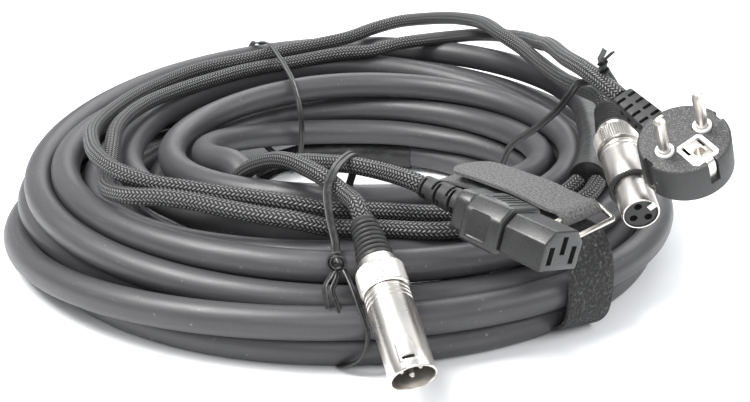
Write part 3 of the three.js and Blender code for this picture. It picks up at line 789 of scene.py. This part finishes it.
def make_xlr_female():
    at = AT_FEMALE
    profile = [(0, -42.5), (9.0, -42.5), (9.2, -42.2)]
    for z in (-40.6, -38.2):
        profile += groove(z, 9.4)
    profile += [(9.4, -36), (9.5, -28), (9.5, -19.4), (9.3, -18.9), (9.1, -18.7)]
    profile += [(7.8, -18.7), (7.8, -17.2), (8.1, -16.9), (8.15, -12), (8.15, -5), (8.15, -0.8)]
    profile += [(8.0, -0.25), (7.7, 0), (7.3, -0.1), (7.2, -0.5), (7.2, -18), (0, -18)]
    shell = turned("female_shell", profile, 96)
    flat = block(9, 2, 17.6, 0, 8.55, -8.0)
    shell = cut(shell, block(6.4, 6, 17, 0, 8.9, -20.5), flat)
    made = [placed("xlr_female_barrel", shell, at, "nickel",
                   replaces=("xlr_female_shell",), angle=30)]
    outline = [(8.1, -18.4), (9.9, -18.45), (10.2, -18.2), (10.25, -17.7), (10.1, -17.2), (9.7, -17.0)]
    outline += [(8.3, -17.0), (8.1, -17.2), (8.1, -18.4)]
    seal = cut(turned("seal", outline, 72), block(6.8, 6, 4, 0, 8.9, -17.7))
    made.append(placed("xlr_female_ring_seal", seal, at, "boot_rubber",
                       replaces=("xlr_female_seal",)))
    key = bevelled(block(3.2, 3.4, 3.0, 0, 5.5, -1.7), 0.2, 1)
    made.append(placed("xlr_female_key_block", key, at, "nickel"))
    made.append(collar("xlr_female", at, 42.5, 53, 57.6))
    made.append(boot("xlr_female", at, 57.9, FEMALE_LENGTH, 8))
    outline = [(8.6, -13.2), (9.6, -13.2), (9.9, -15.0), (10.5, -16.4), (11.0, -18.0), (11.1, -20.5)]
    outline += [(10.9, -24.0), (10.6, -26.8), (8.9, -26.8), (8.9, -15.6), (8.6, -15.4)]
    blade = prism("latch", outline, -2.7, 2.7)
    blade.transform(Matrix(((0, 0, 1, 0), (1, 0, 0, 0), (0, 1, 0, 0), (0, 0, 0, 1))))
    blade = bevelled(blade, 0.35, 2)
    grip = [block(4.4, 0.5, 0.5, 0, 11.2, z) for z in (-19.4, -20.6, -21.8)]
    blade = joined("latch", [blade] + [bevelled(g, 0.12, 1) for g in grip])
    latch = placed("xlr_female_push_latch", blade, at, "nickel", body="latch",
                   replaces=("xlr_female_latch",))
    return made + [latch]


# ---- appliance coupler ----
def coupler_outline(width, height, chamfer):
    w, h = width / 2, height / 2
    return [(-w, -h), (w, -h), (w, h - chamfer), (w - chamfer, h), (chamfer - w, h), (-w, h - chamfer)]


def make_coupler():
    at = AT_IEC
    nose = bevelled(prism("nose", coupler_outline(24, 16.2, 5), -20.7, 0), 0.7, 3)
    steps = [block(1.6, 2.0, 30, side * 12.2, -8.0, -8) for side in (-1, 1)]
    slots = [bevelled(block(3.2, 7.4, 24, x, y, -4.8), 0.2, 1) for x, y in ((-7, -2), (7, -2), (0, 2))]
    nose = cut(nose, *steps, *slots)
    made = [placed("coupler_socket", nose, at, "coupler_plastic",
                   replaces=("coupler_nose",))]
    body = bevelled(prism("body", coupler_outline(28.2, 19, 5.6), -40.8, -21.2), 1.6, 4)
    waist = [bevelled(block(3.0, 14, 11, side * 14.9, 0, -32), 1.2, 3) for side in (-1, 1)]
    body = cut(body, *waist)
    pad = bevelled(prism("pad", [(-7.6, 8.4), (7.6, 8.4), (6.8, 9.9), (-6.8, 9.9)], -37.5, -25), 0.5, 2)
    ridges = [bevelled(block(11, 0.5, 1.0, 0, 10.0, -27.4 - 2.5 * i), 0.2, 1) for i in range(4)]
    body = joined("body", [body, pad] + ridges)
    made.append(placed("coupler_grip", body, at, "coupler_plastic",
                       replaces=("coupler_body",)))
    neck = bevelled(prism("neck", coupler_outline(20, 17, 3.4), -49.9, -41.3), 1.8, 4)
    made.append(placed("coupler_neck", neck, at, "coupler_plastic",
                       replaces=("coupler_collar",)))
    profile = [(0, -74.7), (4.6, -74.7), (5.0, -74.3), (5.2, -70), (5.5, -60), (5.7, -50.6), (0, -50.4)]
    relief = turned("relief", profile, 48)
    tools = []
    for i in range(5):
        z = -54.2 - 4.1 * i
        tools.append(block(14, 5.4, 1.5, 0, 4.3 if i % 2 else -4.3, z))
        tools.append(block(5.4, 14, 1.5, 4.8 if i % 2 else -4.8, 0, z - 2.0))
    relief = bevelled(cut(relief, *tools), 0.15, 1)
    made.append(placed("coupler_slotted_relief", relief, at, "boot_rubber",
                       replaces=("coupler_strain_relief",)))
    return made


# ---- earthed mains plug ----
def make_mains_plug():
    at = AT_MAINS
    edge = [(0, -18), (17.2, -18), (18.2, -17.7), (18.7, -17.0), (18.8, -16)]
    edge += [(18.8, -1.2), (18.5, -0.5), (17.9, -0.05), (17.4, 0), (0, 0)]
    disc = turned("disc", edge, 128)
    recess = bevelled(block(11.6, 12.6, 14, 0, -8.8, 0), 0.8, 2)
    clips = [block(4.6, 6, 14, 0, side * 18.4, -4) for side in (1, -1)]
    guides = [block(3.6, 5, 26, side * 18.8, 0, -6) for side in (1, -1)]
    seats = [rod(4.2, -6, 6, side * 9.5, 0) for side in (1, -1)]
    disc = cut(disc, recess, *clips, *guides, *seats)
    made = [placed("plug_disc", disc, at, "plug_face",
                   replaces=("mains_plug_body",), angle=25)]
    corners = [(-6.3, -14.2), (-4.8, -15.7), (4.8, -15.7), (6.3, -14.2)]
    corners += [(6.3, -3.5), (4.8, -2.0), (-4.8, -2.0), (-6.3, -3.5)]
    frame_out = bevelled(prism("rim", corners, -1.4, 0.3), 0.3, 3)
    rim = cut(frame_out, bevelled(block(9.0, 10.4, 6, 0, -8.8, 0), 0.5, 2))
    made.append(placed("plug_recess_rim", rim, at, "white_plastic"))
    tongue = bevelled(block(6.2, 12.0, 0.9, 0, -9.6, -0.35), 0.3, 2)
    plate = joined("plate", [tongue, bevelled(block(8.6, 5.0, 0.8, 0, -10.4, -1.4), 0.2, 2)])
    profile = [(0, -5.4), (2.5, -5.4), (2.6, -0.2), (3.1, 0.35), (2.7, 0.5), (2.2, 0.2)]
    profile += [(2.1, -4.8), (0, -4.8)]
    cup = turned("cup", profile, 40)
    cup.transform(Matrix.Translation((0, -10, 0)))
    plate = joined("plate", [cut(plate, rod(2.5, -8, 4, 0, -10)), cup])
    made.append(placed("plug_earth_contact", plate, at, "nickel",
                       replaces=("mains_plug_earth_socket",)))
    for i, side in enumerate((1, -1)):
        line = [(0, side * 16.2, -15.0), (0, side * 16.6, -10), (0, side * 17.3, -5), (0, side * 17.0, -1.2),
                (0, side * 16.0, 0.2), (0, side * 14.9, 0.3)]
        section = [(-0.4, -1.8), (0.4, -1.8), (0.4, 1.8), (-0.4, 1.8)]
        clip = swept("clip", spline(line, 0.8), section, first=(0, 1, 0))
        made.append(placed(f"plug_earth_spring_{i + 1}", bevelled(clip, 0.12, 1), at, "nickel",
                           replaces=(f"mains_plug_earth_clip_{i + 1}",)))
    wedge = [(-6, 19.1), (6, 19.1), (5.0, 43.0), (-5.0, 43.0)]
    relief = bevelled(prism("relief", wedge, -13.4, -4.6), 1.4, 3)
    holes = [bevelled(block(4.3, 1.7, 20, side * 2.9, 23.3 + 5.2 * i, -9), 0.5, 2)
             for i in range(4) for side in (-1, 1)]
    side_holes = [block(20, 2.1, 3.0, 0, 25.9 + 5.2 * i, -9) for i in range(3)]
    relief = bevelled(cut(relief, *holes, *side_holes), 0.15, 1)
    made.append(placed("plug_slotted_relief", relief, at, "boot_rubber",
                       replaces=("mains_plug_strain_relief",)))
    return made


# ---- heat-shrink breakouts ----
def make_breakouts():
    def shrink(start, end, bulge, flare):
        def radius(share):
            swell = bulge * math.sin(math.pi * min(1, share * 1.1)) ** 2
            return start + (end - start) * eased(share) + swell + flare * max(0, share - 0.9) * 10
        return radius
    unit = ring(1.0, 40)
    top = swept("breakout_top", spline(BREAKOUT_TOP, 1.5), unit, shrink(7.9, 8.5, 0.3, 0.4))
    low = swept("breakout_low", spline(BREAKOUT_LOW, 1.5), unit, shrink(7.9, 8.3, 0.2, 0.3))
    for name, mesh, node in (("shrink_top", top, "breakout_top"), ("shrink_low", low, "breakout_low")):
        placed(name, mesh, Matrix.Identity(4), "heat_shrink", replaces=(node,), angle=50)


# ---- ties ----
def radial(azimuth):
    """The matrix of the plane through the coil's axis: X outward, Y up, Z across the bundle."""
    angle = math.radians(azimuth)
    x, y = Vector((math.cos(angle), math.sin(angle), 0)), Vector((0, 0, 1))
    return Matrix((x, y, x.cross(y))).transposed().to_4x4()


# A tie's section: a ridge along each edge, with a web between them.
TWO_RIDGES = [
    (-0.3, -1.75), (0.0, -1.9), (0.5, -1.7), (0.72, -1.2), (0.6, -0.6), (0.15, -0.25),
    (0.15, 0.25), (0.6, 0.6), (0.72, 1.2), (0.5, 1.7), (0.0, 1.9), (-0.3, 1.75),
    (-0.5, 1.2), (-0.4, 0.5), (-0.3, 0), (-0.4, -0.5), (-0.5, -1.2),
]
LEFT_LOOP = [
    (174, 46), (177, 38), (179, 30), (178, 14), (171, 2.6), (162, 1.0), (112, 1.0), (92, 1.0), (84, 2),
    (78, 8), (72, 18), (69, 32), (73, 46), (84, 57), (98, 62.5), (114, 67), (129, 69.5),
    (141, 68), (152, 65), (162, 63.8), (169, 59.5), (172.5, 53),
]

# Each tie's own axes, its loop, the way its ends point, and the way its section first faces.
TIES = {
    "tie_left": (radial(110), [(r, z, 0) for r, z in LEFT_LOOP], (0.9, -0.1, 0), (0.3, 1, 0.2)),
    "tie_front": (Matrix.Identity(4), [
        (-3, -163, 44), (2, -172, 38), (6, -180.8, 30), (9.5, -185.5, 19), (7, -185, 9), (0, -181, 3.2),
        (-2.9, -172, 1.4), (-2.8, -158, 1.2), (-2.4, -135, 1.2), (-2, -112, 1.2), (-1.6, -92, 1.3),
        (-1, -84, 4), (-0.5, -80, 12), (0, -80, 26), (1, -83, 40), (4, -90, 54), (6, -98, 64),
        (4.5, -105.5, 70.6),
        (0, -114, 70.4), (-3.9, -126, 69), (-6.8, -137, 64.2), (-5.5, -148, 55), (-3.4, -156, 48),
        (-3, -162, 45)], (-0.3, -0.6, -1), (0.73, -0.04, 0.69)),
    "tie_right": (Matrix.Identity(4), [
        (116, -106, 108), (123, -98, 98), (130, -88, 86), (150, -60, 56), (171, -28, 34), (175.6, 6, 18),
        (174.6, 24.8, 8), (168, 23.6, 1.8), (150, 21.1, 1.3), (120, 16.9, 1.3), (92, 12.9, 1.3),
        (83.5, 11.7, 3), (83, 8, 12), (84.5, 0, 28), (88.5, -10, 44), (98, -24, 57), (107, -38, 71),
        (112, -46, 82), (114, -53, 88.5), (119.5, -60, 91.5), (119, -76, 98), (117, -92, 105),
        (115, -105, 108.5)], (-0.3, 0.1, 1), (0.54, -0.8, -0.25)),
}


def twisted_end(at, way, strand):
    """One end of a tie wound round the other for a few turns, then splayed out."""
    way = np.array(way, float)
    way /= np.linalg.norm(way)
    side = np.cross(way, (0.2, 0.1, 1) if abs(way[2]) < 0.7 else (1, 0, 0))
    side /= np.linalg.norm(side)
    other = np.cross(way, side)
    path = []
    for i in range(22):
        t = i / 21
        angle = math.pi * (strand + 3.2 * t)
        path.append(at + way * (6 * t - 1.5) + 1.25 * (side * math.cos(angle) + other * math.sin(angle)))
    out = (side * 5 - other * 4 if strand else -side * 4 - other * 4) + way * 3
    return path + [path[-1] + out * 0.5, path[-1] + out]


def front_knot():
    """A curl that faces forward, with two ends that hang down from it."""
    curl = []
    for i in range(28):
        angle = math.pi * (0.4 + 3.4 * i / 27)
        r = 4.2 - 2.6 * i / 27
        curl.append((-2.6 + r * math.cos(angle), -168.5 - 0.03 * i, 44 + r * math.sin(angle)))
    left_end = [(-2, -167, 43), (-5, -170.5, 39), (-7.6, -174, 35.5), (-7, -177.5, 31.5), (-6.4, -179, 28.6)]
    right_end = [(-3, -167, 43), (-2.6, -170.5, 38.5), (-4.6, -175, 34.5), (-3, -178.5, 30)]
    right_end += [(-1.4, -180.5, 26.5)]
    return [curl, left_end, right_end]


def make_ties():
    narrow = [(x * 0.8, y * 0.7) for x, y in TWO_RIDGES]
    for name, (at, loop, up, first) in TIES.items():
        meshes = [swept(name, spline(loop, 1.5), TWO_RIDGES, first=first)]
        top = (np.array(loop[0], float) + np.array(loop[-1], float)) / 2
        ends = front_knot() if name == "tie_front" else [twisted_end(top, up, strand) for strand in (0, 1)]
        meshes += [swept("end", spline(path, 0.8), narrow, first=(0.2, 0.4, 1)) for path in ends]
        placed("twist_" + name, joined(name, meshes), at, "tie_vinyl",
               replaces=(name,), angle=40)


# ---- strap and ring ----
STRAP_AZIMUTH = -52
STRAP_LINE = [
    (163, 45.8), (170, 46), (176, 43.8), (180.6, 38.6), (183.2, 31), (184, 20), (182, 9), (176, 3.4),
    (164, 1.2), (140, 1.2), (112, 1.2), (90, 1.2), (82, 4), (79.5, 16), (80, 32), (84, 44), (94, 50),
    (112, 52.6), (130, 53.2), (146, 52.6), (155, 50), (162, 48.4), (169, 48.9), (172.6, 51.9),
    (170, 55), (163, 55.2), (155, 56), (144, 57.2), (130, 57.4), (114, 57.4), (99, 56.8),
]

# How far the strap's middle is set across its plane, as (length along it, offset).
STRAP_SLANT = [(0, 7), (30, 9), (60, 9.5), (95, 6), (180, 3), (300, 5), (400, 5)]


def strap_section(width, thickness):
    w, t = width / 2, thickness / 2
    across = [(-t * 0.8, -w), (t * 0.8, -w)]
    across += [(t, -w + 0.5 + (width - 1) * i / 12) for i in range(13)]
    across += [(t * 0.8, w), (-t * 0.8, w)]
    across += [(-t, w - 0.5 - (width - 1) * i / 12) for i in range(13)]
    return across


def make_strap():
    at = radial(STRAP_AZIMUTH)
    line = np.array(spline([(r, z, 0) for r, z in STRAP_LINE], 1.5))
    lengths = along(line)
    line[:, 2] = np.interp(lengths, *zip(*STRAP_SLANT))
    total = length_of(line)
    section = strap_section(STRAP_WIDTH, STRAP_THICKNESS)
    mesh = swept("strap", line, section, first=(0, 1, 0))
    for i, vertex in enumerate(mesh.vertices):
        place = i // len(section)
        left = total - lengths[place]
        if left < STRAP_ROUNDED_END:
            middle = line[place][2]
            share = math.sqrt(max(0.02, 1 - (1 - left / STRAP_ROUNDED_END) ** 2))
            vertex.co.z = middle + (vertex.co.z - middle) * share
    piece = placed("fabric_strap", mesh, at, "strap_fabric", replaces=("strap",), angle=60)


def make_ring():
    at = radial(STRAP_AZIMUTH) @ Matrix.Translation((173.4, 51.2, 6.5))
    at = at @ Matrix.Rotation(math.radians(9), 4, "Y")
    at = at @ Matrix.Rotation(math.radians(-27), 4, "Z")
    half, width, bend, wire = 17.8, 10.6, 2.2, 1.2
    corners = [(0, -half), (width, -half), (width, half), (0, half)]
    path = []
    for i, (x, z) in enumerate(corners):
        here = np.array((x, z), float)
        before, after = np.array(corners[i - 1], float), np.array(corners[(i + 1) % 4], float)
        a = here + (before - here) / np.linalg.norm(before - here) * bend
        b = here + (after - here) / np.linalg.norm(after - here) * bend
        for j in range(5):
            t = j / 4
            spot = a * (1 - t) ** 2 + here * 2 * t * (1 - t) + b * t * t
            path.append((spot[0] - 3.8, 0, spot[1]))
    mesh = swept("ring", np.array(path), ring(wire, 16), closed=True, first=(0, 1, 0))
    placed("strap_wire_ring", mesh, at, "nickel", replaces=("strap_ring",), angle=50)


male_pieces = make_xlr_male()
female_pieces = make_xlr_female()
coupler_pieces = make_coupler()
plug_pieces = make_mains_plug()
make_breakouts()
make_tails()
make_ties()
make_ring()
make_strap()


# ---- carried-over CAD nodes ----
def dress_cad_nodes():
    looks = {
        "_pin_": "nickel", "_contact_": "nickel", "spring": "nickel",
        "bush": "white_plastic", "insert": "insert_plastic",
    }
    for name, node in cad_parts.items():
        for part, look in looks.items():
            if part in name:
                node.data.materials.clear()
                node.data.materials.append(LOOK[look])


dress_cad_nodes()


# ---- studio ----
def make_floor():
    """A sheet of pale paper, in metres, that rises behind the coil in a curve."""
    profile = [(-1.6, 0), (0.6, 0), (1.5, 0), (1.8, 0.03), (2.05, 0.15)]
    profile += [(2.2, 0.4), (2.25, 0.8), (2.25, 2.6)]
    verts = [(x, y, z) for x in (-3.0, 3.0) for y, z in profile]
    n = len(profile)
    faces = [(i, i + 1, n + i + 1, n + i) for i in range(n - 1)]
    mesh = bpy.data.meshes.new("floor")
    mesh.from_pydata(verts, [], faces)
    s = Shader("floor_paper", 0.7)
    s.colour(s.mix(s.noise(6, 2), grey(0.86, -0.01), grey(0.88, -0.01)))
    mesh.materials.append(s.material)
    linked("floor", mesh)


def area_light(name, place, target, size, power, tint=(1, 1, 1)):
    data = bpy.data.lights.new(name, "AREA")
    data.shape = "RECTANGLE"
    data.size, data.size_y = size
    data.energy = power
    data.color = tint
    lamp = linked(name, data)
    lamp.location = place
    lamp.rotation_mode = "QUATERNION"
    lamp.rotation_quaternion = (Vector(target) - Vector(place)).to_track_quat("-Z", "Y")


def make_lights():
    world = bpy.data.worlds.new("studio")
    world.use_nodes = True
    back = next(n for n in world.node_tree.nodes if n.type == "BACKGROUND")
    tree = world.node_tree
    way = add(tree, "SeparateXYZ", {0: add(tree, "TexCoord").outputs["Generated"]}).outputs[2]
    rise = add(tree, "MapRange", {
        "Value": way, "From Min": 0.1, "From Max": 0.55, "To Min": 0.12, "To Max": 0.85,
    })
    tree.links.new(rise.outputs[0], back.inputs["Strength"])
    back.inputs["Color"].default_value = (0.93, 0.96, 1.0, 1)
    bpy.context.scene.world = world
    area_light("key", (-0.7, -0.2, 1.25), (0, 0, 0.02), (0.7, 0.7), 34, (1.0, 0.99, 0.97))
    area_light("front", (0.15, -1.35, 0.75), (0, 0, 0.05), (1.0, 0.5), 7)
    area_light("right", (1.1, -0.3, 0.9), (0.05, 0, 0.03), (0.9, 0.6), 9)
    area_light("back", (0.3, 1.2, 1.1), (0, 0, 0.03), (1.4, 0.7), 12)
    view = bpy.context.scene.view_settings
    view.view_transform = "Standard"
    view.look = "None"


make_floor()
make_lights()
